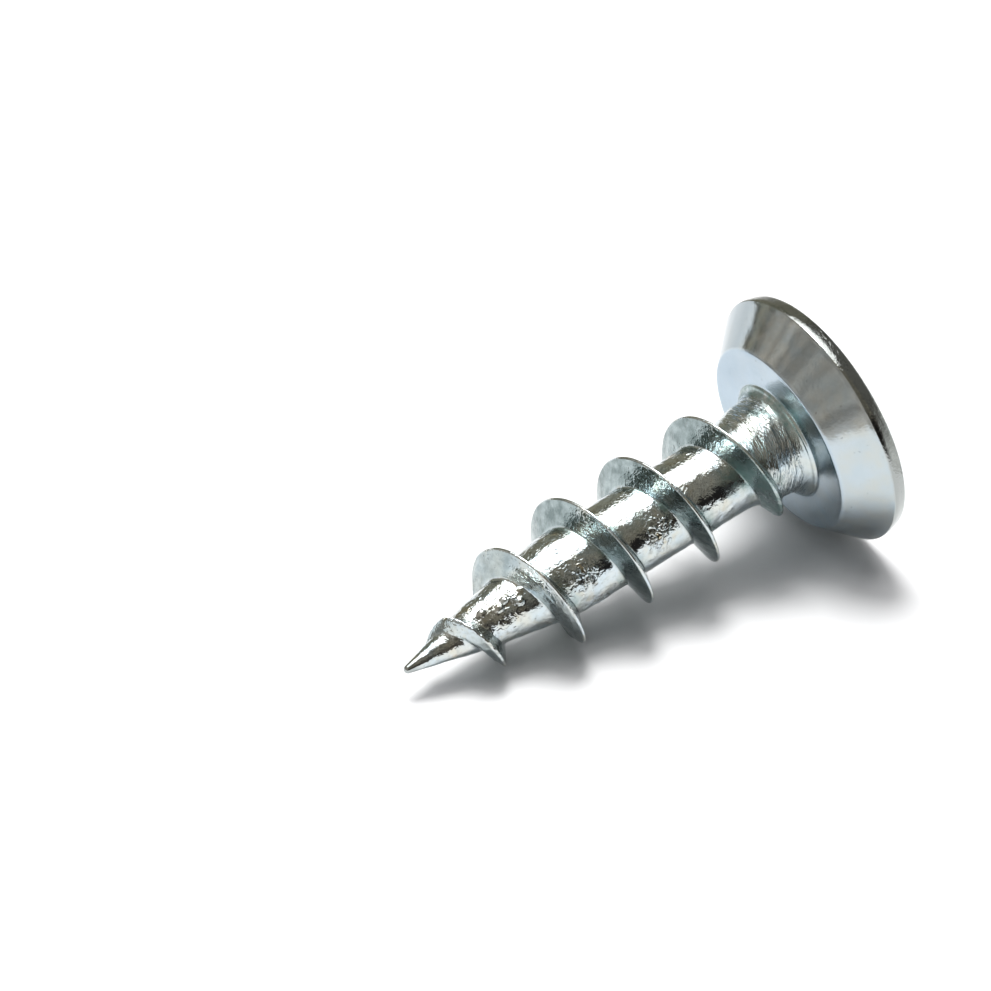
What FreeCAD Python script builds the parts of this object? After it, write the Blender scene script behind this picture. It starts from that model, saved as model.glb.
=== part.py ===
import FreeCAD, Part
import math
import os

# Hinge screw: one piece of zinc plated steel, a wide countersunk head over a coarse blade thread.
# All sizes are in millimetres and all angles in degrees. Places along the screw are measured from the tip.

# Driving dimensions of the blank
screw_length = 15.0
head_diameter = 8.0
head_rim_height = 0.47
head_cone_height = 1.13
underside_diameter = 5.9
shank_diameter = 3.06
shank_length = 0.9
shank_step_length = 0.8
neck_fillet = 0.56
core_diameter = 2.5
core_taper_length = 5.4
tip_cone_length = 2.4
tip_cone_diameter = 1.42
tip_round_diameter = 0.26

# Driving dimensions of the thread
thread_diameter = 4.14
thread_pitch = 2.38
thread_crest_width = 0.10
thread_flank_angle = 11.0
thread_first_top = 1.77
thread_point_start = 0.75
thread_point_diameter = 0.56
thread_start_diameter = 3.14
thread_full_length = 5.34
thread_run_out_length = 1.2
thread_head_gap = 0.4

# Driving dimensions of the cross recess
recess_span = 4.6
recess_wing_width = 1.1
recess_floor_span = 2.3
recess_wing_depth = 1.45
recess_depth = 2.2
recess_mouth_diameter = 2.3
recess_bore_diameter = 1.3

# Steps of the search for the line that the screw rests on, and how far apart faces still join
support_steps_per_turn = 360
weld_tolerance = 1e-4

head_radius = head_diameter / 2
underside_radius = underside_diameter / 2
shank_radius = shank_diameter / 2
core_radius = core_diameter / 2
thread_radius = thread_diameter / 2
tip_radius = tip_round_diameter / 2

rim_start = screw_length - head_rim_height
underside_place = rim_start - head_cone_height
neck_start = underside_place - neck_fillet
shank_step_end = underside_place - shank_length
shank_step_start = shank_step_end - shank_step_length
thread_run_out_end = underside_place - thread_head_gap
thread_run_out_start = thread_run_out_end - thread_run_out_length


def thread_envelope():
    """Crest radius against distance from the tip: it grows from the point, runs full and fades out."""
    first_bottom = thread_first_top + thread_pitch / 2
    return [
        (thread_point_start, thread_point_diameter / 2),
        (first_bottom, thread_start_diameter / 2),
        (thread_full_length, thread_radius),
        (thread_run_out_start, thread_radius),
        (thread_run_out_end, shank_radius),
    ]


def radius_on(profile, place):
    """Radius of a profile of (place, radius) points at one place along the screw."""
    for (start, start_radius), (end, end_radius) in zip(profile, profile[1:]):
        if start <= place <= end:
            share = (place - start) / (end - start)
            return start_radius + share * (end_radius - start_radius)
    return 0.0


def point_at(radius, place):
    """A point of the half section, in the plane through the screw's axis."""
    return FreeCAD.Vector(radius, 0, place)


def straight_edges(points):
    """Straight edges from each point to the next."""
    return [Part.LineSegment(start, end).toShape() for start, end in zip(points, points[1:])]


def turned(edges):
    """The solid that a closed half section makes when it is turned about the screw's axis."""
    face = Part.Face(Part.Wire(edges))
    return face.revolve(FreeCAD.Vector(0, 0, 0), FreeCAD.Vector(0, 0, 1), 360)


def blank():
    """Tip, core, shank, neck and countersunk head as one turned piece."""
    outline = [
        point_at(tip_radius, tip_radius),
        point_at(tip_cone_diameter / 2, tip_cone_length),
        point_at(core_radius, core_taper_length),
        point_at(core_radius, shank_step_start),
        point_at(shank_radius, shank_step_end),
        point_at(shank_radius, neck_start),
    ]
    nose_middle = point_at(tip_radius * math.sin(math.pi / 4), tip_radius * (1 - math.cos(math.pi / 4)))
    edges = [Part.Arc(point_at(0, 0), nose_middle, outline[0]).toShape()]
    edges += straight_edges(outline)

    fillet_end = point_at(shank_radius + neck_fillet, underside_place)
    fillet_middle = point_at(
        shank_radius + neck_fillet * (1 - math.cos(math.pi / 4)),
        underside_place - neck_fillet * (1 - math.sin(math.pi / 4)),
    )
    edges.append(Part.Arc(outline[-1], fillet_middle, fillet_end).toShape())

    head = [
        fillet_end,
        point_at(underside_radius, underside_place),
        point_at(head_radius, rim_start),
        point_at(head_radius, screw_length),
        point_at(0, screw_length),
        point_at(0, 0),
    ]
    edges += straight_edges(head)
    return turned(edges)


def blade_turn(first_turn):
    """One turn of the right-hand helical blade at full height, with its root sunk in the core."""
    root_radius = tip_radius
    half_crest = thread_crest_width / 2
    half_root = half_crest + math.tan(math.radians(thread_flank_angle)) * (thread_radius - root_radius)
    corners = [
        point_at(root_radius, -half_root),
        point_at(thread_radius, -half_crest),
        point_at(thread_radius, half_crest),
        point_at(root_radius, half_root),
    ]
    helix = Part.makeHelix(thread_pitch, thread_pitch, thread_radius)
    shell = Part.BRepOffsetAPI.MakePipeShell(Part.Wire(helix))
    shell.setFrenetMode(True)
    shell.add(Part.makePolygon(corners + corners[:1]))
    shell.build()
    shell.makeSolid()
    turn = shell.shape()
    turn.rotate(FreeCAD.Vector(0, 0, 0), FreeCAD.Vector(0, 0, 1), 360 * first_turn)
    turn.translate(FreeCAD.Vector(0, 0, thread_first_top + first_turn * thread_pitch))
    return turn


def thread():
    """The blade turn by turn, trimmed to the envelope of its crest. Each turn starts on the lower side."""
    profile = thread_envelope()
    outline = [point_at(0, profile[0][0])]
    outline += [point_at(radius, place) for place, radius in profile]
    outline += [point_at(0, profile[-1][0])]
    outline.append(outline[0])
    envelope = turned(straight_edges(outline))

    turns_before_top = (thread_first_top - thread_point_start) / thread_pitch
    first_turn = -0.5 - math.ceil(turns_before_top - 0.5)
    turn_count = math.ceil((thread_run_out_end - thread_first_top) / thread_pitch - first_turn)
    return [blade_turn(first_turn + index).common(envelope) for index in range(turn_count)]


def recess():
    """The cross recess: two crossing wings that narrow towards the floor, and a round bore at their middle."""
    def wing_point(across, depth):
        return FreeCAD.Vector(across, -recess_wing_width / 2, screw_length - depth)

    outline = [
        wing_point(-recess_span / 2, 0),
        wing_point(recess_span / 2, 0),
        wing_point(recess_floor_span / 2, recess_wing_depth),
        wing_point(-recess_floor_span / 2, recess_wing_depth),
    ]
    face = Part.Face(Part.makePolygon(outline + outline[:1]))
    first_wing = face.extrude(FreeCAD.Vector(0, recess_wing_width, 0))
    second_wing = first_wing.copy()
    second_wing.rotate(FreeCAD.Vector(0, 0, 0), FreeCAD.Vector(0, 0, 1), 90)

    bore_outline = [
        point_at(0, screw_length),
        point_at(recess_mouth_diameter / 2, screw_length),
        point_at(recess_bore_diameter / 2, screw_length - recess_wing_depth),
        point_at(0, screw_length - recess_depth),
        point_at(0, screw_length),
    ]
    bore = turned(straight_edges(bore_outline))
    return first_wing.fuse([second_wing, bore])


def resting_tilt():
    """Angle of the axis above the floor when the head's rim and the thread's crest both touch it."""
    profile = thread_envelope()
    turns = (thread_run_out_end - thread_first_top) / thread_pitch
    slopes = []
    for step in range(int(turns * support_steps_per_turn)):
        turn = step / support_steps_per_turn
        place = thread_first_top + turn * thread_pitch
        below_axis = -radius_on(profile, place) * math.cos(2 * math.pi * turn)
        if below_axis > 0:
            crest_edge = place - thread_crest_width / 2
            slopes.append((head_radius - below_axis) / (rim_start - crest_edge))
    return math.degrees(math.atan(min(slopes)))


def laid_down(shape):
    """The screw as it lies: head towards +X, first crest top upwards, origin at the bottom centre."""
    lying = shape.copy()
    lying.rotate(FreeCAD.Vector(0, 0, 0), FreeCAD.Vector(0, 0, 1), 180)
    lying.rotate(FreeCAD.Vector(0, 0, 0), FreeCAD.Vector(0, 1, 0), 90 - resting_tilt())
    box = lying.optimalBoundingBox(False, False)
    lying.translate(FreeCAD.Vector(-box.Center.x, -box.Center.y, -box.ZMin))
    return lying


screw = blank().fuse(thread(), weld_tolerance).cut(recess()).removeSplitter()
screw = laid_down(screw.Solids[0])
print("tilt", round(resting_tilt(), 3), "volume", round(screw.Volume, 3), "valid", screw.isValid())
print("solids", len(screw.Solids), "box", screw.optimalBoundingBox(False, False))

os.makedirs("parts", exist_ok=True)
screw.exportStep("parts/hinge_screw.step")
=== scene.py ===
import math

import bpy
import numpy as np
from mathutils import Matrix, Vector


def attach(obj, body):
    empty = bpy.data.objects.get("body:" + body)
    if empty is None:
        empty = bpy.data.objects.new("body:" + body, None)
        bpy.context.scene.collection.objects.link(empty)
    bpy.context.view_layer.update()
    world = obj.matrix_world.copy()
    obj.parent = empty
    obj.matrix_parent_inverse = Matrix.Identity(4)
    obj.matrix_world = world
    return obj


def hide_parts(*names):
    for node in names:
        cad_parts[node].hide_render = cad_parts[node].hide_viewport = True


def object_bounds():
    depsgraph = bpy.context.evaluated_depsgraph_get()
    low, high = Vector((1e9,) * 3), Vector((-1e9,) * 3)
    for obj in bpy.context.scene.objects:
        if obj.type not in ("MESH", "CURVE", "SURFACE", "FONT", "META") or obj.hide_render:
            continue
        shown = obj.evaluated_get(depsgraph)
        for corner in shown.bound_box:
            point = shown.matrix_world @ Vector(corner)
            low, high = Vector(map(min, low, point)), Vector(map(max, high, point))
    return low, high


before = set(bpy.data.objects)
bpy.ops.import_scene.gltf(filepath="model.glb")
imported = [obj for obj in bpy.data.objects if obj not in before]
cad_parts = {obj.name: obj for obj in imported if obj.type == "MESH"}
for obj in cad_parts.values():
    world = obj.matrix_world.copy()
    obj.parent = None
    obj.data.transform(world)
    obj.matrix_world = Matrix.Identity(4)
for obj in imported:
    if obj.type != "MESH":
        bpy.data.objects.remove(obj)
cad_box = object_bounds()

# Sizes are in millimetres until a mesh is made. Places along the screw are measured from its tip.
MM = 0.001

# The blank, as packed
screw_length = 15.0
head_radius = 4.0
rim_start = 14.53
underside_place = 13.4
underside_radius = 2.95
shank_radius = 1.53
shank_step_start = 11.7
shank_step_end = 12.5
neck_start = 12.84
neck_fillet = 0.56
core_radius = 1.25
core_taper_end = 5.4
tip_cone_end = 2.4
tip_cone_radius = 0.71
nose_radius = 0.13

# How wide the corners between the blank's cones are eased, and how fast that grows from the nose
corner_ease = 0.3
ease_growth = 0.4

# The thread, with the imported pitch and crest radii. Its crest is slimmer and its root is wider.
crest_radius = 2.07
half_crest = 0.034
half_root = 0.34
pitch = 2.38
first_top = 1.77
crest_places = [0.75, 2.96, 5.34, 11.8, 13.0]
crest_radii = [0.28, 1.57, crest_radius, crest_radius, shank_radius]

# The cross recess, whose inner corners are rounded here
wing_reach = 2.3
wing_half_width = 0.55
mouth_flare = 0.6
floor_flare = 0.2
wing_depth = 1.45
floor_reach = 1.15
floor_half_width = 0.47
floor_dip = 0.05
bore_radius = 0.62
recess_depth = 2.2

# The flat face lies between this radius and the recess, which has a small bevel round its mouth
face_radius = 3.76
face_ring_count = 13
mouth_bevel = 0.055

# How it lies: the axis rises from the tip to the head, and the first crest top points up
resting_tilt = math.radians(11.798)

# Columns round the axis in each eighth of a turn, before, between and after the recess's corners
columns_per_eighth = (9, 12, 9)

# Rows of core between two turns of the blade, where the helical rows end, and their gap to the end rings
core_rows = 32
strip_end = 13.05
end_ring_gap = 0.012


def smooth_step(value, start, end):
    """0 before start, 1 after end, and a soft rise between them."""
    share = np.clip((value - start) / (end - start), 0.0, 1.0)
    return share * share * (3.0 - 2.0 * share)


# Noise

noise_period = 256
noise_gain = 1.6
noise_source = np.random.RandomState(11)
noise_order = np.concatenate([noise_source.permutation(noise_period)] * 3)
noise_slopes = noise_source.normal(size=(noise_period, 3))
noise_slopes /= np.linalg.norm(noise_slopes, axis=1)[:, None]


def noise(points, scale, shift=0.0):
    """Smooth gradient noise from about -1 to 1. Scale is in waves per millimetre."""
    spot = points * scale + shift
    cell = np.floor(spot).astype(int)
    local = spot - cell
    fade = local ** 3 * (local * (local * 6 - 15) + 10)
    total = np.zeros(points.shape[:-1])
    for corner in range(8):
        step = np.array([corner & 1, corner >> 1 & 1, corner >> 2 & 1])
        place = (cell + step) % noise_period
        index = noise_order[noise_order[noise_order[place[..., 0]] + place[..., 1]] + place[..., 2]]
        share = np.prod(np.where(step == 1, fade, 1 - fade), axis=-1)
        total += share * np.sum(noise_slopes[index] * (local - step), axis=-1)
    return total * noise_gain


# Profiles of the blank

def neck_radius(place):
    """The concave fillet between the shank and the underside of the head."""
    rise = np.clip(place - neck_start, 0.0, neck_fillet)
    return shank_radius + neck_fillet - np.sqrt(neck_fillet ** 2 - rise ** 2)


def blank_radius(place):
    """Radius of tip, core and shank without the thread. The corners between the cones are eased."""
    places = [nose_radius, tip_cone_end, core_taper_end, shank_step_start, shank_step_end]
    radii = [nose_radius, tip_cone_radius, core_radius, core_radius, shank_radius]
    ease = np.clip((place - nose_radius) * ease_growth, 0.0, corner_ease)
    samples = [np.interp(place + ease * offset, places, radii) for offset in (-1.0, -0.5, 0.0, 0.5, 1.0)]
    straight = sum(samples) / len(samples)
    return np.where(place > neck_start, neck_radius(place), straight)


def column_angles():
    """Angles round the axis, from the first crest top. The recess's corners lie on columns."""
    tip_corner = math.atan(wing_half_width / wing_reach)
    inner_corner = math.atan(wing_half_width / (wing_half_width + mouth_flare))
    corners = [0.0, tip_corner, inner_corner, math.pi / 4]
    eighth = []
    for count, start, end in zip(columns_per_eighth, corners, corners[1:]):
        eighth += [start + (end - start) * step / count for step in range(count)]
    eighth.append(math.pi / 4)
    quarter = eighth + [math.pi / 2 - angle for angle in reversed(eighth[1:-1])]
    return np.array([quarter_turn * math.pi / 2 + angle for quarter_turn in range(4) for angle in quarter])


angles = column_angles()
column_count = len(angles)


# Displacement of the surface

def on_cylinder(place, angle, radius):
    """A point of the screw's own frame: across the crest top, across, and along the axis."""
    return np.stack([radius * np.cos(angle), radius * np.sin(angle), place], axis=-1)


# Rough spots of the plating: (place, angle in degrees, reach, strength)
rough_spots = [
    (3.3, 36.0, 0.8, 0.4),
    (5.7, 64.0, 0.7, 1.0),
    (5.9, 126.0, 0.7, 1.2),
    (6.9, 250.0, 1.1, 0.8),
    (8.3, 66.0, 0.75, 1.15),
    (9.6, 180.0, 0.9, 0.9),
    (10.4, 300.0, 0.8, 0.8),
]

# Spots of painted shade, a darker colour standing in for shade and dark reflections, by the roots of the
# blade, in the same form
painted_shade_spots = [
    (11.2, 52.0, 0.9, 1.0),
    (8.0, 35.0, 0.6, 0.5),
    (12.9, 5.0, 0.8, 0.9),
    (11.2, 220.0, 0.9, 0.8),
]

# Small beads of plating: (place, angle in degrees, radius, height). Only the first four have set places.
beads = [
    (3.10, 36.0, 0.13, 0.085),
    (3.36, 28.0, 0.12, 0.075),
    (2.62, 24.0, 0.12, 0.075),
    (3.72, 46.0, 0.11, 0.06),
]
scattered_bead_count = 26
scattered_bead_rise = 0.22
bead_source = np.random.RandomState(5)
for bead in range(scattered_bead_count):
    bead_place = bead_source.uniform(2.3, 10.8)
    bead_angle = bead_source.uniform(0.0, 360.0)
    bead_size = bead_source.uniform(0.07, 0.11)
    beads.append((bead_place, bead_angle, bead_size, scattered_bead_rise * bead_size))


def bead_height(points):
    """Height of the beads over the plating."""
    height = np.zeros(points.shape[:-1])
    for place, angle, size, rise in beads:
        radius = float(blank_radius(np.array(place)))
        centre = on_cylinder(np.array(place), np.radians(angle), radius)
        distance = np.linalg.norm(points - centre, axis=-1) / size
        height = np.maximum(height, rise * np.sqrt(np.clip(1.0 - distance ** 2, 0.0, 1.0)))
    return height


def spots_share(points, spots):
    """How strongly the spots cover each point."""
    share = np.zeros(points.shape[:-1])
    for place, angle, reach, strength in spots:
        centre = on_cylinder(np.array(place), np.radians(angle), core_radius)
        distance = np.linalg.norm(points - centre, axis=-1)
        share = np.maximum(share, strength * (1.0 - smooth_step(distance, 0.3 * reach, reach)))
    return share


def roughness_of_plating(points):
    """Where the plating of the core is rough: towards the tip, in soft patches and in a few spots."""
    patches = smooth_step(noise(points, 0.9, 3.1), -0.35, 0.45)
    broad = 0.28 + 0.35 * patches + 0.18 * (1.0 - smooth_step(points[..., 2], 4.5, 8.0))
    return broad + spots_share(points, rough_spots)


def core_lumps(points):
    """The plated core's small lumps, in millimetres."""
    rough = np.clip(roughness_of_plating(points), 0.0, 1.6)
    waves = 0.0085 * noise(points, 1.6, 7.7) + 0.0150 * noise(points, 3.4, 1.3)
    fine = 0.0085 * noise(points, 6.2, 5.9)
    return waves * (0.5 + 0.5 * rough) + fine * rough + bead_height(points)


def rolling_marks(place, angle):
    """Rings that the rolling dies left on the shank and the start of the neck."""
    broad = np.stack([place * 2.6, np.cos(angle) * 1.6, np.sin(angle) * 1.6], axis=-1)
    narrow = np.stack([place * 5.2, np.cos(angle) * 2.8, np.sin(angle) * 2.8], axis=-1)
    return 0.025 * noise(broad, 1.0, 2.2) + 0.028 * noise(narrow, 1.0, 8.4)


# The threaded length

# Rows from the crest's middle to its corner: (share of half its width, how far below the top)
crest_rows = [(0.5, 0.001), (1.0, 0.010)]
# Shares of the way down the flank that have a row
flank_shares = [0.05, 0.16, 0.30, 0.45, 0.60, 0.75, 0.88, 0.96]
# Rows of the small fillet at the root: (distance beyond the flank, height over the core)
root_rows = [(0.0, 0.015), (0.035, 0.004), (0.08, 0.0)]


def crest_height(place, angle):
    """Height of the blade over the blank at one place of its helix, with its rolled unevenness."""
    blank = blank_radius(place)
    envelope = np.interp(place, crest_places, crest_radii, left=0.0, right=0.0)
    points = on_cylinder(place, angle, crest_radius)
    young = 1.0 - smooth_step(place, 1.6, 5.0)
    wander = -0.010 - 0.010 * noise(points, 0.8, 4.0) - 0.008 * noise(points, 2.2, 9.0)
    wander += young * (0.045 * noise(points, 1.6, 6.0) + 0.03 * noise(points, 3.7, 2.0) - 0.02)
    height = np.clip(envelope - blank, 0.0, None)
    return np.clip(height + wander * smooth_step(height, 0.02, 0.25), 0.0, None)


def helix_place(turn):
    """Places of the blade's middle in one turn, for every column."""
    return first_top + pitch * (angles / (2 * math.pi) + turn)


def blade_side(turn, side):
    """Rows of one side of the blade from its crest to its root, for every column."""
    middle = helix_place(turn)
    height = crest_height(middle, angles)
    rows = []
    for step, drop in crest_rows:
        rows.append((half_crest * step, height - np.minimum(drop, height * 0.2), "crest"))
    kind = "tip_flank" if side < 0 else "head_flank"
    for share in flank_shares:
        rows.append((half_crest + (half_root - half_crest) * share, height * (1.0 - share), kind))
    grown = np.clip(height / 0.25, 0.0, 1.0)
    for step, rise in root_rows:
        rows.append((half_root + step, rise * grown, "root"))
    return [(middle + side * offset, rise, kind) for offset, rise, kind in rows]


def one_pitch(turn):
    """Rows from one blade's crest to just before the next blade's, as (place, rise, kind)."""
    middle = helix_place(turn)
    rows = [(middle, crest_height(middle, angles), "crest")]
    rows += blade_side(turn, 1)
    next_side = blade_side(turn + 1, -1)
    start = rows[-1][0]
    end = next_side[-1][0]
    for step in range(1, core_rows + 1):
        rows.append((start + (end - start) * step / (core_rows + 1), np.zeros(column_count), "core"))
    return rows + next_side[::-1]


def threaded_length():
    """Place, rise over the blank and kind of every helical row, and how many rows make one pitch."""
    first_turn = -2
    last_turn = math.ceil((strip_end - first_top) / pitch)
    rows = []
    for turn in range(first_turn, last_turn + 1):
        rows += one_pitch(turn)
    rows_per_pitch = len(rows) // (last_turn - first_turn + 1)
    place = np.array([row[0] for row in rows])
    rise = np.array([row[1] for row in rows])
    kinds = np.array([row[2] for row in rows])
    return place, rise, kinds, rows_per_pitch


def lap_height(points, place, radius):
    """The folded ridge that runs below the crest on the tip side of the first full turn."""
    below_crest = np.interp(place, crest_places, crest_radii) - radius
    ridge = np.exp(-((below_crest - 0.24) / 0.06) ** 2)
    length = smooth_step(place, 1.5, 2.2) * (1.0 - smooth_step(place, 5.0, 6.0))
    broken = smooth_step(noise(points, 0.9, 61.0), -0.8, -0.1)
    return 0.055 * ridge * length * broken


def root_nearness(kinds):
    """How near each row of the core lies to the root of the blade, from 0 to 1."""
    nearness = np.zeros(len(kinds))
    for row in np.flatnonzero(kinds == "root"):
        for step in range(-3, 6):
            other = row + step
            if 0 <= other < len(kinds) and kinds[other] == "core":
                nearness[other] = max(nearness[other], 1.0 - abs(step) / 6.0)
        nearness[row] = 1.0
    return nearness[:, None]


def thread_surface(place, rise, kinds):
    """Points of the helical rows with their lumps and marks, and their share of each finish, painted shade
    and painted highlight included.
    """
    angle = np.broadcast_to(angles, place.shape)
    blank = blank_radius(place)
    smooth_points = on_cylinder(place, angle, blank + rise)
    on_blade = np.clip(rise / 0.06, 0.0, 1.0)
    on_shank = smooth_step(place, 11.5, 12.1) * (1.0 - on_blade)
    beyond_nose = smooth_step(place, 0.2, 1.2)
    bare = (1.0 - on_blade) * (1.0 - on_shank)
    lumps = core_lumps(smooth_points)
    marks = rolling_marks(place, angle)
    radius = blank + rise + beyond_nose * bare * lumps + on_shank * marks

    tip_flank = (kinds == "tip_flank")[:, None]
    either_flank = tip_flank | (kinds == "head_flank")[:, None]
    pull = 0.0090 * noise(smooth_points, 1.7, 12.0)
    pull += 0.0042 * noise(smooth_points, 4.2, 14.0)
    pull -= np.where(tip_flank, lap_height(smooth_points, place, blank + rise), 0.0)
    moved = place + np.where(either_flank, pull * beyond_nose * on_blade, 0.0)

    # Painted highlight: in a band of angles near the top of each turn, wider and further round on the first
    # turns, the flanks take less of their darker colour, where the core's highlight would show in them.
    young = 1.0 - smooth_step(place, 4.6, 5.8)
    painted_highlight_band = np.exp(-((np.degrees(angle) - 14.0 - 24.0 * young) / (17.0 + 15.0 * young)) ** 2)
    off_crest = (kinds != "crest")[:, None]
    full_blade = smooth_step(place, 3.0, 6.0)
    run_out = smooth_step(place, 11.25, 11.6)
    # Painted shade: a darker colour near the roots of the full turns, in the painted shade spots and on the
    # last turn's blade, standing in for shade and dark reflections
    grime = root_nearness(kinds) * full_blade * smooth_step(noise(smooth_points, 1.1, 51.0), -0.3, 0.4)
    grime = np.maximum(grime, spots_share(smooth_points, painted_shade_spots))
    grime = np.maximum(grime, 0.85 * on_blade * run_out)
    finish = {
        "marks": on_shank,
        "edge": 0.8 * (1.0 - smooth_step(place, 0.2, 0.5)),
        # The flanks' share of their darker colour, partly painted shade, with less of it in the painted
        # highlight band
        "flank": on_blade * off_crest * (1.0 - 0.85 * painted_highlight_band) * (1.0 - 0.3 * young),
        "grime": grime,
        "rough": roughness_of_plating(smooth_points) * beyond_nose * (1.0 - 0.85 * on_shank),
    }
    return on_cylinder(moved, angle, radius), finish


# Mesh under construction: points in the screw's own frame, faces, and the share of each finish, painted shade
# and painted highlight among them

finish_names = ("satin", "dull", "stained", "marks", "inside", "edge", "flank", "grime", "rough")
points_made = []
finish_made = []
faces_made = []


def add_points(points, **finish):
    """Adds points with their shares of the finishes that they have, and gives their numbers."""
    start = sum(len(group) for group in points_made)
    points_made.append(points)
    shares = [np.broadcast_to(finish.get(name, 0.0), len(points)) for name in finish_names]
    finish_made.append(np.stack(shares, axis=-1))
    return np.arange(start, start + len(points))


def add_face(*corners):
    """Adds a face, leaving out corners that fall together."""
    kept = []
    for corner in corners:
        if corner not in kept:
            kept.append(int(corner))
    if len(kept) > 2:
        faces_made.append(kept)


def join_rings(lower, upper):
    """Faces between two rings of columns, facing outwards when the upper one lies nearer the head."""
    for column in range(column_count):
        after = (column + 1) % column_count
        add_face(lower[column], lower[after], upper[after], upper[column])


def add_ring(below, points, **finish):
    """Adds a ring of points, joins it to the ring below it, and gives its numbers."""
    ring = add_points(points, **finish)
    join_rings(below, ring)
    return ring


def build_threaded_length():
    """The nose ring, the blade with the core between its turns, and the ring where the neck starts."""
    place, rise, kinds, rows_per_pitch = threaded_length()
    start_ring = add_points(on_cylinder(np.full(column_count, nose_radius), angles, nose_radius), edge=0.8)
    end_place = np.full(column_count, strip_end)
    end_points = on_cylinder(end_place, angles, neck_radius(end_place))
    # The ring where the neck starts has some painted shade.
    end_ring = add_points(end_points, satin=0.1, marks=1.0, grime=0.3, rough=0.4)

    points, finish = thread_surface(place, rise, kinds)
    before = place <= nose_radius + end_ring_gap
    beyond = place >= strip_end - end_ring_gap
    inner = ~(before | beyond)
    index = np.where(before, start_ring, end_ring)
    index[inner] = add_points(points[inner], **{name: share[inner] for name, share in finish.items()})

    for column in range(column_count):
        after = (column + 1) % column_count
        shift = rows_per_pitch if after == 0 else 0
        here = index[:, column]
        there = index[shift:, after]
        for row in range(len(there) - 1):
            add_face(here[row], there[row], there[row + 1], here[row + 1])
    return start_ring, end_ring


def build_nose(ring):
    """The blunt round end of the tip."""
    rings = [ring]
    for share in (0.66, 0.33):
        angle = share * math.pi / 2
        place = np.full(column_count, nose_radius * (1.0 - math.cos(angle)))
        rings.append(add_points(on_cylinder(place, angles, nose_radius * math.sin(angle)), edge=0.8))
    for upper, lower in zip(rings, rings[1:]):
        join_rings(lower, upper)
    centre = add_points(np.zeros((1, 3)), edge=0.8)[0]
    for column in range(column_count):
        add_face(centre, rings[-1][(column + 1) % column_count], rings[-1][column])


# How stained the cone is round the head: (angle in degrees, share)
cone_stains = [
    (20.0, 0.7),
    (60.0, 0.35),
    (105.0, 0.45),
    (200.0, 0.6),
    (290.0, 0.75),
    (327.0, 0.95),
    (342.0, 0.2),
]

# Rings of the head: (place, radius, satin, edge)
neck_ring_places = (13.10, 13.15, 13.20, 13.24, 13.27, 13.29)
neck_end_rings = [
    (13.308, 1.795, 0.2, 0.0),
    (13.328, 1.818, 0.2, 0.0),
    (13.37, 1.838, 0.4, 0.0),
    (13.394, 1.865, 0.5, 0.0),
]
underside_ring_radii = (1.93, 2.1, 2.25, 2.45, 2.65, 2.82, 2.915)
underside_corner_rings = [
    (underside_place + 0.006, 2.94, 0.4, 0.0),
    (underside_place + 0.03, 2.973, 0.4, 0.0),
]
cone_ring_count = 14
cone_ring_start = underside_place + 0.1
cone_ring_end = rim_start - 0.03
rim_rings = [
    (rim_start - 0.008, 3.987, 0.15, 0.2),
    (rim_start + 0.010, 3.994, 0.05, 0.7),
    (rim_start + 0.04, 3.997, 0.0, 1.0),
    (14.65, 3.995, 0.1, 1.0),
    (14.70, 3.985, 0.3, 1.0),
    (14.78, 3.964, 0.3, 1.0),
    (14.86, 3.943, 0.3, 1.0),
    (14.93, 3.924, 0.3, 1.0),
    (14.97, 3.905, 0.4, 0.6),
    (14.992, 3.88, 0.4, 0.2),
    (15.0, 3.84, 0.45, 0.0),
]


def head_profile():
    """(place, radius, satin, edge) of the turned rings from the neck to the head's face."""
    profile = [(place, float(neck_radius(place)), 0.2, 0.0) for place in neck_ring_places]
    profile += neck_end_rings
    profile += [(underside_place, radius, 0.45, 0.0) for radius in underside_ring_radii]
    profile += underside_corner_rings
    cone_slope = (head_radius - underside_radius) / (rim_start - underside_place)
    for place in np.linspace(cone_ring_start, cone_ring_end, cone_ring_count):
        profile.append((place, underside_radius + cone_slope * (place - underside_place), 0.3, 0.0))
    return profile + rim_rings


# How far the rolling marks run on past the helical rows, and where the neck's waves end
marks_fade = 0.25
neck_waves_end = 13.35

# Where the finishes of the underside and of the cone start
underside_finish_start = underside_place - 0.01
cone_finish_start = underside_place + 0.05


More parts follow.
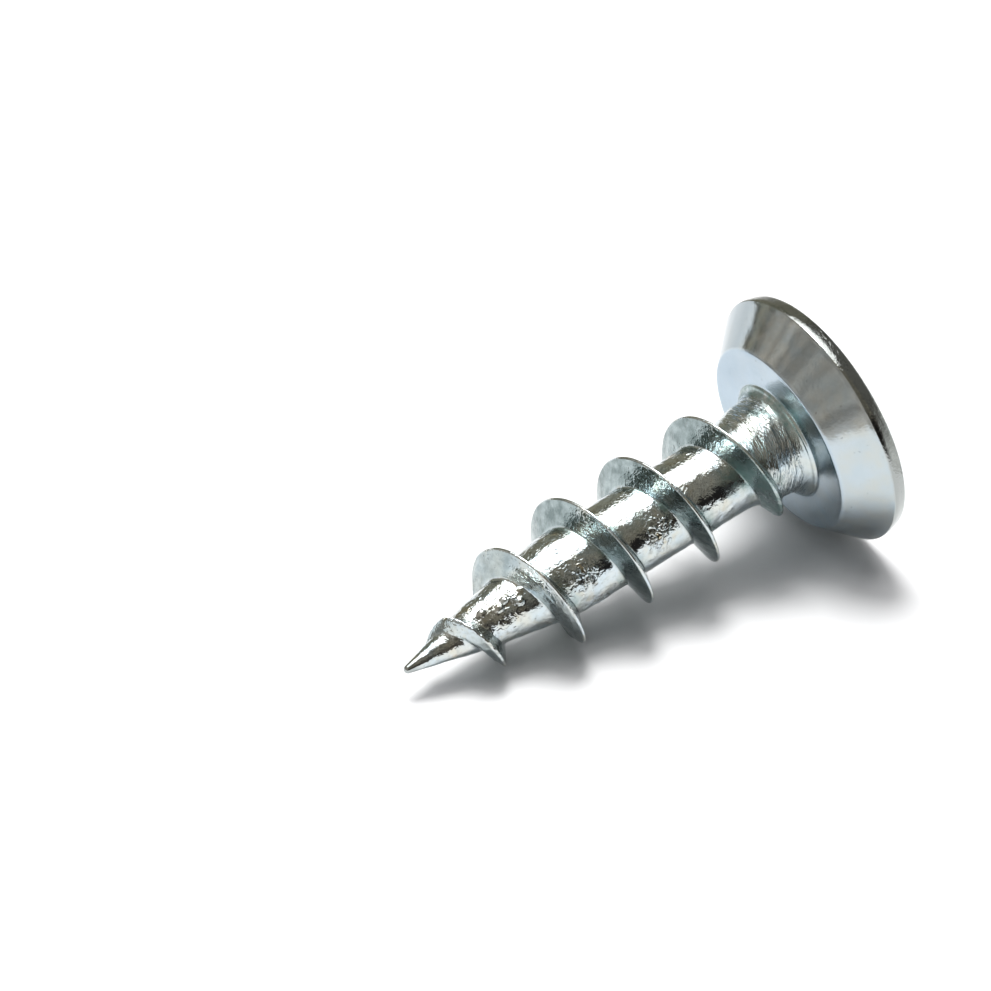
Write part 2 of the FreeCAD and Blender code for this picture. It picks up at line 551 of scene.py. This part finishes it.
def build_head_sides(below):
    """Neck, underside, cone and rim, ring by ring. It gives the ring at the edge of the face."""
    stain_angles, stain_shares = zip(*cone_stains)
    cone_stain = np.interp(np.degrees(angles), stain_angles, stain_shares, period=360.0)
    underside_dull = 0.75 - 0.15 * np.sin(angles)
    # Painted dark reflection: between places 13.0 and 13.4 the neck takes the painted shade colour, more on
    # its upper side, standing in for the shank's reflection in the underside.
    upper_side = 0.25 + 0.75 * smooth_step(np.cos(angles + math.radians(10.0)), 0.2, 0.8)
    for place, radius, satin, edge in head_profile():
        full = np.full(column_count, place)
        points = on_cylinder(full, angles, radius)
        marks = max(0.0, 1.0 - (place - strip_end) / marks_fade)
        if place < neck_waves_end:
            radius = radius + 0.7 * marks * rolling_marks(full, angles) + 0.004 * noise(points, 1.5, 41.0)
        elif place > cone_finish_start:
            on_rim = 1.0 if place > cone_ring_end else 0.0
            waves = 0.012 * noise(points, 0.55, 31.0) + 0.0095 * noise(points, 1.4, 33.0)
            grain = 0.0026 * noise(points, 3.4, 35.0)
            radius = radius - (1.0 - 0.6 * on_rim) * np.abs(waves) - (1.0 + 1.6 * on_rim) * np.abs(grain)
        on_underside = underside_finish_start < place < cone_finish_start
        on_cone = cone_finish_start < place < rim_start
        below = add_ring(
            below,
            on_cylinder(full, angles, radius),
            satin=satin,
            dull=underside_dull if on_underside else 0.0,
            stained=cone_stain if on_cone else 0.0,
            marks=marks,
            edge=edge,
            grime=smooth_step(place, 13.0, 13.2) * (1.0 - smooth_step(place, 13.36, 13.4)) * upper_side,
            rough=0.3 * marks + 0.35 * min(1.0, 3.0 * edge),
        )
    return below


def recess_outline(reach, half_width, flare):
    """Angles and radii of the cross at one depth, with each column kept on its side of each corner."""
    quarter = math.pi / 2
    nearest = np.round(angles / quarter) * quarter
    aside = angles - nearest
    wing_end = math.atan(wing_half_width / wing_reach)
    flare_start = math.atan(wing_half_width / (wing_half_width + mouth_flare))
    base = [0.0, wing_end, flare_start, quarter / 2]
    middle = half_width + flare
    here = [0.0, math.atan(half_width / reach), math.atan(half_width / middle), quarter / 2]
    turned = np.interp(np.abs(aside), base, here)

    towards = middle * (np.cos(turned) + np.sin(turned))
    radius = towards - np.sqrt(np.maximum(towards ** 2 - 2.0 * middle ** 2 + flare ** 2, 0.0))
    side = turned < here[2] - 1e-9
    radius[side] = half_width / np.sin(np.maximum(turned[side], 1e-6))
    end = turned <= here[1] + 1e-9
    radius[end] = reach / np.cos(turned[end])
    return nearest + np.sign(aside) * turned, radius


def at_depth(depth, angle, radius):
    """A ring of points at one depth below the head's face."""
    return on_cylinder(np.full(column_count, screw_length - depth), angle, radius)


def build_face(below):
    """The head's face with its slight waves, and the bevel round the recess's mouth."""
    angle, mouth_radius = recess_outline(wing_reach, wing_half_width, mouth_flare)
    for share in np.linspace(0.0, 1.0, face_ring_count):
        points = at_depth(0.0, angle, face_radius + (mouth_radius + mouth_bevel - face_radius) * share)
        waves = 0.0022 * noise(points, 0.7, 21.0) + 0.0012 * noise(points, 1.9, 23.0)
        points[:, 2] -= np.abs(waves)
        below = add_ring(below, points, satin=0.45, dull=0.35)
    for outward, depth in ((0.022, 0.007), (0.004, 0.03)):
        # The bevel round the mouth takes a little of the recess's painted shade.
        below = add_ring(below, at_depth(depth, angle, mouth_radius + outward), satin=0.1, inside=0.1)
    return below


def build_recess(below):
    """The tapered wings, their floor and the bore, closed at the bore's point, all with painted shade."""
    # Painted shade: the inside share gives the recess a darker colour all through.
    inside = {"satin": 0.3, "inside": 1.0}
    for share in (0.06, 0.2, 0.4, 0.6, 0.8, 0.95, 1.0):
        reach = wing_reach + (floor_reach - wing_reach) * share
        half_width = wing_half_width + (floor_half_width - wing_half_width) * share
        flare = mouth_flare + (floor_flare - mouth_flare) * share
        angle, radius = recess_outline(reach, half_width, flare)
        below = add_ring(below, at_depth(wing_depth * share, angle, radius), **inside)
    for share in (0.4, 0.8, 1.0):
        floor = radius + (bore_radius - radius) * share
        below = add_ring(below, at_depth(wing_depth + floor_dip * share, angle, floor), **inside)
    for share in (0.3, 0.6, 0.85):
        depth = wing_depth + floor_dip + (recess_depth - wing_depth - floor_dip) * share
        below = add_ring(below, at_depth(depth, angle, bore_radius * (1.0 - share)), **inside)
    centre = add_points(np.array([[0.0, 0.0, screw_length - recess_depth]]), **inside)[0]
    for column in range(column_count):
        add_face(below[column], below[(column + 1) % column_count], centre)


def laid_down(points):
    """The screw's own frame turned to how it lies, in metres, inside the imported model's box."""
    along = np.array([math.cos(resting_tilt), 0.0, math.sin(resting_tilt)])
    upwards = np.array([-math.sin(resting_tilt), 0.0, math.cos(resting_tilt)])
    towards_viewer = np.array([0.0, -1.0, 0.0])
    tip_x = cad_box[0][0] / MM + nose_radius * (1.0 - math.cos(resting_tilt))
    tip_z = head_radius * math.cos(resting_tilt) - rim_start * math.sin(resting_tilt)
    tip = np.array([tip_x, 0.0, tip_z])
    turned = points[:, :1] * upwards + points[:, 1:2] * towards_viewer + points[:, 2:] * along
    return (tip + turned) * MM


# Edges that turn by more than this stay sharp
sharp_angle = math.radians(50.0)


def make_screw():
    """The whole screw as one closed mesh that stands for its node."""
    start_ring, end_ring = build_threaded_length()
    build_nose(start_ring)
    build_recess(build_face(build_head_sides(end_ring)))
    points = laid_down(np.concatenate(points_made))
    finish = np.concatenate(finish_made)
    mesh = bpy.data.meshes.new("plated_screw")
    mesh.from_pydata(points.tolist(), [], faces_made)
    for column, name in enumerate(finish_names):
        attribute = mesh.attributes.new(name, "FLOAT", "POINT")
        attribute.data.foreach_set("value", finish[:, column].astype(np.float32))
    mesh.validate()
    mesh.shade_smooth()
    mesh.set_sharp_from_angle(angle=sharp_angle)
    return bpy.data.objects.new("plated_screw", mesh)


# Materials

class Nodes:
    """A small helper that adds nodes to a tree and links them by socket."""

    def __init__(self, tree):
        self.tree = tree
        tree.nodes.clear()

    def add(self, kind, **values):
        """Adds a node. Names in values are its settings."""
        node = self.tree.nodes.new(kind)
        for name, value in values.items():
            setattr(node, name, value)
        return node

    def link(self, source, target):
        """Links an output to an input."""
        self.tree.links.new(source, target)

    def math(self, operation, first, second=None, clamp=False):
        """A Math node over sockets or numbers, and its result."""
        node = self.add("ShaderNodeMath", operation=operation, use_clamp=clamp)
        for socket, value in zip(node.inputs, (first, second)):
            if value is None:
                continue
            if isinstance(value, (int, float)):
                socket.default_value = value
            else:
                self.link(value, socket)
        return node.outputs[0]

    def stretch(self, value, start, gain, clamp=True):
        """How far a value lies above start, times gain, and from 0 to 1 when it is clamped."""
        return self.math("MULTIPLY", self.math("SUBTRACT", value, start), gain, clamp=clamp)

    def noise(self, vector, scale, detail=2.0, roughness=0.5):
        """A Noise Texture's value."""
        node = self.add("ShaderNodeTexNoise")
        node.inputs["Scale"].default_value = scale
        node.inputs["Detail"].default_value = detail
        node.inputs["Roughness"].default_value = roughness
        self.link(vector, node.inputs["Vector"])
        return node.outputs[0]

    def mapping(self, vector, rotation, scale):
        """A vector scaled and then turned by a Mapping node."""
        node = self.add("ShaderNodeMapping")
        node.inputs["Rotation"].default_value = rotation
        node.inputs["Scale"].default_value = scale
        self.link(vector, node.inputs["Vector"])
        return node.outputs[0]

    def mix(self, share, first, second):
        """A colour between two, by a share."""
        node = self.add("ShaderNodeMix", data_type="RGBA")
        self.link(share, node.inputs["Factor"])
        for socket, value in ((node.inputs["A"], first), (node.inputs["B"], second)):
            if isinstance(value, tuple):
                socket.default_value = value
            else:
                self.link(value, socket)
        return node.outputs["Result"]

    def attribute(self, name):
        """The value of one of the mesh's finishes."""
        return self.add("ShaderNodeAttribute", attribute_name=name).outputs["Fac"]


# Colours of the plating, some of them painted shade
bluish_zinc = (0.58, 0.65, 0.69, 1.0)
bluish_zinc_deep = (0.48, 0.58, 0.63, 1.0)
warm_zinc = (0.60, 0.62, 0.58, 1.0)
dull_zinc = (0.37, 0.46, 0.54, 1.0)
dull_zinc_deep = (0.30, 0.38, 0.455, 1.0)
stained_zinc = (0.30, 0.35, 0.375, 1.0)
pit_colour = (0.30, 0.31, 0.29, 1.0)
golden_tint = (0.58, 0.49, 0.30, 1.0)
# The flanks' darker rolled colours: partly their own duller tone, partly painted shade
rolled_dark_with_painted_shade = (0.17, 0.215, 0.215, 1.0)
rolled_pale_with_painted_shade = (0.38, 0.445, 0.45, 1.0)
edge_colour = (0.34, 0.36, 0.35, 1.0)
# Painted shade: dark teal standing in for shade and dark reflections by the roots, on the last turn and on
# the neck
painted_shade_colour = (0.21, 0.30, 0.29, 1.0)
speck_colour = (0.25, 0.28, 0.29, 1.0)
# Painted shade in the recess
painted_recess_shade_colour = (0.20, 0.26, 0.34, 1.0)

# How deep the finest lumps of the plating look
bump_distance = 0.017


def plating_colour(nodes, spot, finish, blotch, painted_shade_share):
    """The plating's colour: bluish and warm clouds, stains, pits, golden tints, painted shade and specks. The
    flanks' darker colour is partly painted shade, with a painted highlight band, and the recess has painted
    shade.
    """
    stain = nodes.stretch(nodes.noise(spot, 0.8, 3.0, 0.55), 0.38, 2.8)
    warmth = nodes.stretch(nodes.noise(spot, 1.7, 2.0, 0.5), 0.36, 3.2)
    bright = nodes.mix(warmth, nodes.mix(stain, bluish_zinc, bluish_zinc_deep), warm_zinc)
    dull = nodes.mix(stain, dull_zinc, dull_zinc_deep)
    colour = nodes.mix(finish["dull"], bright, dull)
    colour = nodes.mix(finish["stained"], colour, stained_zinc)

    pit = nodes.stretch(nodes.noise(spot, 6.5, 3.0, 0.7), 0.50, 7.0)
    pitted_share = nodes.math("MULTIPLY", pit, nodes.math("MULTIPLY", finish["rough"], 0.75), clamp=True)
    colour = nodes.mix(pitted_share, colour, pit_colour)
    tint = nodes.stretch(nodes.noise(spot, 2.3, 2.0, 0.6), 0.56, 7.0)
    tinted_share = nodes.math("MULTIPLY", tint, nodes.math("MULTIPLY", finish["rough"], 0.55), clamp=True)
    colour = nodes.mix(tinted_share, colour, golden_tint)

    # The flanks' darker colour, partly painted shade, lifted in the painted highlight band
    colour = nodes.mix(finish["flank"], colour, nodes.mix(blotch, rolled_dark_with_painted_shade, rolled_pale_with_painted_shade))
    colour = nodes.mix(finish["edge"], colour, edge_colour)
    # Painted shade
    colour = nodes.mix(painted_shade_share, colour, painted_shade_colour)
    speck = nodes.stretch(nodes.noise(spot, 8.0, 1.0, 0.4), 0.735, 14.0)
    colour = nodes.mix(speck, colour, speck_colour)
    # Painted shade in the recess
    return nodes.mix(finish["inside"], colour, painted_recess_shade_colour)


def plating_roughness(nodes, spot, finish, painted_shade_share):
    """Nearly a mirror, and rougher where it is satin, rolled, grainy or painted with shade."""
    grain = nodes.noise(spot, 6.0, 3.0, 0.65)
    satin_part = nodes.math("MULTIPLY", finish["satin"], 0.26)
    rough = nodes.math("ADD", satin_part, nodes.math("MULTIPLY", finish["flank"], 0.09))
    rough = nodes.math("ADD", rough, nodes.math("MULTIPLY", grain, 0.10))
    rough = nodes.math("ADD", rough, nodes.math("MULTIPLY", painted_shade_share, 0.28))
    return nodes.math("ADD", rough, 0.025)


def plating_height(nodes, spot, ring_spot, finish, mottle):
    """The finest relief: lumps and folds of the plating, mottle of the flanks and rings of the shank."""
    lumps = nodes.noise(spot, 7.0, 2.0, 0.6)
    pimples = nodes.math("MULTIPLY", nodes.noise(spot, 15.0, 2.0, 0.55), 0.45)
    fold = nodes.math("ABSOLUTE", nodes.math("SUBTRACT", nodes.noise(spot, 4.6, 1.0, 0.5), 0.5))
    wrinkle = nodes.math("SUBTRACT", 1.0, nodes.math("MULTIPLY", fold, 12.0), clamp=True)
    folds = nodes.math("MULTIPLY", wrinkle, nodes.math("MULTIPLY", finish["rough"], 0.45))
    height = nodes.math("ADD", nodes.math("ADD", lumps, pimples), folds)
    height = nodes.math("MULTIPLY", height, nodes.math("ADD", finish["rough"], 0.12))
    mottled = nodes.math("MULTIPLY", mottle, nodes.math("MULTIPLY", finish["flank"], 1.1))
    height = nodes.math("ADD", height, mottled)
    rings = nodes.math("MULTIPLY", nodes.noise(ring_spot, 1.0, 3.0, 0.7), 5.5)
    return nodes.math("ADD", height, nodes.math("MULTIPLY", rings, finish["marks"]))


def zinc_plate():
    """Blue passivated zinc: a bright core, satin flanks and head, fine lumps and slight stains, with painted
    shade by the roots, on the neck and in the recess, and a painted highlight on the flanks.
    """
    material = bpy.data.materials.new("zinc_plate_with_painted_light")
    material.use_nodes = True
    nodes = Nodes(material.node_tree)
    output = nodes.add("ShaderNodeOutputMaterial")
    shader = nodes.add("ShaderNodeBsdfPrincipled")
    shader.inputs["Metallic"].default_value = 1.0
    nodes.link(shader.outputs[0], output.inputs["Surface"])

    on_object = nodes.add("ShaderNodeTexCoord").outputs["Object"]
    spot = nodes.mapping(on_object, (0.0, 0.0, 0.0), (1 / MM, 1 / MM, 1 / MM))
    ring_spot = nodes.mapping(on_object, (0.0, resting_tilt, 0.0), (8.5 / MM, 1.1 / MM, 1.1 / MM))
    finish = {name: nodes.attribute(name) for name in finish_names}
    mottle = nodes.noise(spot, 2.6, 4.0, 0.62)
    blotch = nodes.stretch(mottle, 0.36, 3.2)
    # Painted shade, broken up by the flanks' mottle
    painted_shade_share = nodes.math("MULTIPLY", finish["grime"], nodes.math("SUBTRACT", 1.15, blotch), clamp=True)
    nodes.link(plating_colour(nodes, spot, finish, blotch, painted_shade_share), shader.inputs["Base Color"])
    nodes.link(plating_roughness(nodes, spot, finish, painted_shade_share), shader.inputs["Roughness"])

    bump = nodes.add("ShaderNodeBump")
    bump.inputs["Distance"].default_value = bump_distance * MM
    nodes.link(plating_height(nodes, spot, ring_spot, finish, mottle), bump.inputs["Height"])
    nodes.link(bump.outputs[0], shader.inputs["Normal"])
    return material


def floor_material():
    """Plain pale matt board."""
    material = bpy.data.materials.new("pale_board")
    material.use_nodes = True
    shader = material.node_tree.nodes["Principled BSDF"]
    shader.inputs["Base Color"].default_value = (0.82, 0.82, 0.82, 1.0)
    shader.inputs["Roughness"].default_value = 1.0
    shader.inputs["Specular IOR Level"].default_value = 0.0
    return material


# Stage

# The corners of the pale board near the screw, in millimetres, and how far the floor runs beyond it
board_corners = [(21.0, -50.0), (0.0, 96.0), (-90.0, 96.0), (-90.0, 5.0)]
floor_reach_far = 3000.0


def flat_mesh(name, outline):
    """A flat face on the floor, from its outline in millimetres."""
    mesh = bpy.data.meshes.new(name)
    mesh.from_pydata([(x * MM, y * MM, 0.0) for x, y in outline], [], [tuple(range(len(outline)))])
    return bpy.data.objects.new(name, mesh)


def make_floor():
    """One pale floor. Only the board near the screw shows in its plating, as a sheet on a dim table would."""
    material = floor_material()
    count = len(board_corners)
    far_corners = []
    for x, y in board_corners:
        stretch = floor_reach_far / math.hypot(x, y)
        far_corners.append((x * stretch, y * stretch))
    parts = [flat_mesh("floor_board", board_corners)]
    for index in range(count):
        after = (index + 1) % count
        side = [board_corners[index], far_corners[index], far_corners[after], board_corners[after]]
        parts.append(flat_mesh(f"floor_side_{index}", side))
        parts[-1].visible_glossy = False
    for part in parts:
        part.data.materials.append(material)
        bpy.context.scene.collection.objects.link(part)


def direction(azimuth, elevation):
    """Unit vector of a compass angle from +X and a height above the floor, both in degrees."""
    around = math.radians(azimuth)
    above = math.radians(elevation)
    return Vector((math.cos(above) * math.cos(around), math.cos(above) * math.sin(around), math.sin(above)))


lamp_direction = direction(85.0, 75.0)


def make_lamp(name, distance, half_angle, radiance):
    """A round soft lamp overhead and a little behind the screw."""
    radius = distance * math.tan(math.radians(half_angle))
    data = bpy.data.lights.new(name, "AREA")
    data.shape = "DISK"
    data.size = 2 * radius
    data.energy = radiance * math.pi * math.pi * radius ** 2
    lamp = bpy.data.objects.new(name, data)
    lamp.location = lamp_direction * distance
    lamp.rotation_euler = (-lamp_direction).to_track_quat("-Z", "Y").to_euler()
    bpy.context.scene.collection.objects.link(lamp)


# What the plating reflects beyond the floor: (azimuth, elevation, how far it spreads, its colour)
room_patches = [
    (165.0, 8.0, 75.0, (0.48, 0.44, 0.395, 1.0)),
    (75.0, 15.0, 50.0, (0.26, 0.25, 0.195, 1.0)),
    (285.0, 50.0, 40.0, (0.235, 0.215, 0.175, 1.0)),
    (290.0, 12.0, 20.0, (0.02, 0.018, 0.017, 1.0)),
    (345.0, 42.0, 34.0, (0.17, 0.165, 0.15, 1.0)),
    (0.0, -40.0, 72.0, (1.0, 1.0, 0.98, 1.0)),
]
# Share of a patch's spread in which it has its full colour
patch_middle = 0.6
room_dark = (0.05, 0.045, 0.04, 1.0)
room_pale = (0.16, 0.145, 0.125, 1.0)
even_light = (0.20, 0.20, 0.21, 1.0)
backdrop_colour = (1.0, 1.0, 1.0, 1.0)


def room_colour(nodes, coordinates):
    """The room that shows in the plating, with its patches and its clutter."""
    cloud = nodes.noise(coordinates, 3.0, 4.0, 0.65)
    wobble = nodes.stretch(cloud, 0.5, 0.35, clamp=False)
    colour = nodes.mix(cloud, room_dark, room_pale)
    for azimuth, elevation, spread, patch in room_patches:
        along = nodes.add("ShaderNodeVectorMath", operation="DOT_PRODUCT")
        along.inputs[1].default_value = direction(azimuth, elevation)
        nodes.link(coordinates, along.inputs[0])
        edge = nodes.add("ShaderNodeMapRange", interpolation_type="SMOOTHSTEP")
        edge.inputs["From Min"].default_value = math.cos(math.radians(spread))
        edge.inputs["From Max"].default_value = math.cos(math.radians(spread * patch_middle))
        nodes.link(nodes.math("ADD", along.outputs["Value"], wobble), edge.inputs["Value"])
        colour = nodes.mix(edge.outputs[0], colour, patch)

    clutter = nodes.stretch(nodes.noise(coordinates, 10.0, 5.0, 0.65), 0.5, 5.0, clamp=False)
    contrast = nodes.math("ADD", clutter, 1.0)
    shaded = nodes.add("ShaderNodeVectorMath", operation="SCALE")
    nodes.link(colour, shaded.inputs[0])
    nodes.link(nodes.math("MAXIMUM", contrast, 0.15), shaded.inputs["Scale"])
    return shaded.outputs[0]


def make_world():
    """A dim room seen only in the plating, a little even light on everything, and a pale backdrop."""
    world = bpy.data.worlds.new("studio")
    bpy.context.scene.world = world
    world.use_nodes = True
    nodes = Nodes(world.node_tree)
    output = nodes.add("ShaderNodeOutputWorld")
    background = nodes.add("ShaderNodeBackground")
    nodes.link(background.outputs[0], output.inputs["Surface"])

    coordinates = nodes.add("ShaderNodeTexCoord").outputs["Generated"]
    path = nodes.add("ShaderNodeLightPath")
    lit = nodes.mix(path.outputs["Is Glossy Ray"], even_light, room_colour(nodes, coordinates))
    seen = nodes.mix(path.outputs["Is Camera Ray"], lit, backdrop_colour)
    nodes.link(seen, background.inputs["Color"])


# The camera: its place in millimetres, where it looks, and its lens as a focal length in the picture's pixels
camera_place = Vector((-68.8136, -92.0947, 88.8992))
camera_forward = Vector((0.4595, 0.65954, -0.59487))
camera_roll = math.radians(0.392)
focal_length_pixels = 5000.0
picture_width_pixels = 991.0
sensor_width = 36.0
clip_start_metres = 0.002


def make_camera():
    """The photograph's viewpoint."""
    data = bpy.data.cameras.new("camera")
    data.sensor_width = sensor_width
    data.lens = sensor_width * focal_length_pixels / picture_width_pixels
    data.clip_start = clip_start_metres
    camera = bpy.data.objects.new("camera", data)
    facing = camera_forward.to_track_quat("-Z", "Y").to_matrix().to_4x4()
    turned = facing @ Matrix.Rotation(camera_roll, 4, "Z")
    camera.matrix_world = Matrix.Translation(camera_place * MM) @ turned
    bpy.context.scene.collection.objects.link(camera)
    bpy.context.scene.camera = camera


make_camera()
make_floor()
make_lamp("soft_lamp", distance=1.5, half_angle=31.0, radiance=2.4)
make_lamp("lamp_middle", distance=1.4, half_angle=13.0, radiance=17.0)
make_world()
bpy.context.scene.view_settings.view_transform = "Standard"

screw = make_screw()
screw.data.materials.append(zinc_plate())
bpy.context.scene.collection.objects.link(screw)
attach(screw, "root")
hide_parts("hinge_screw")
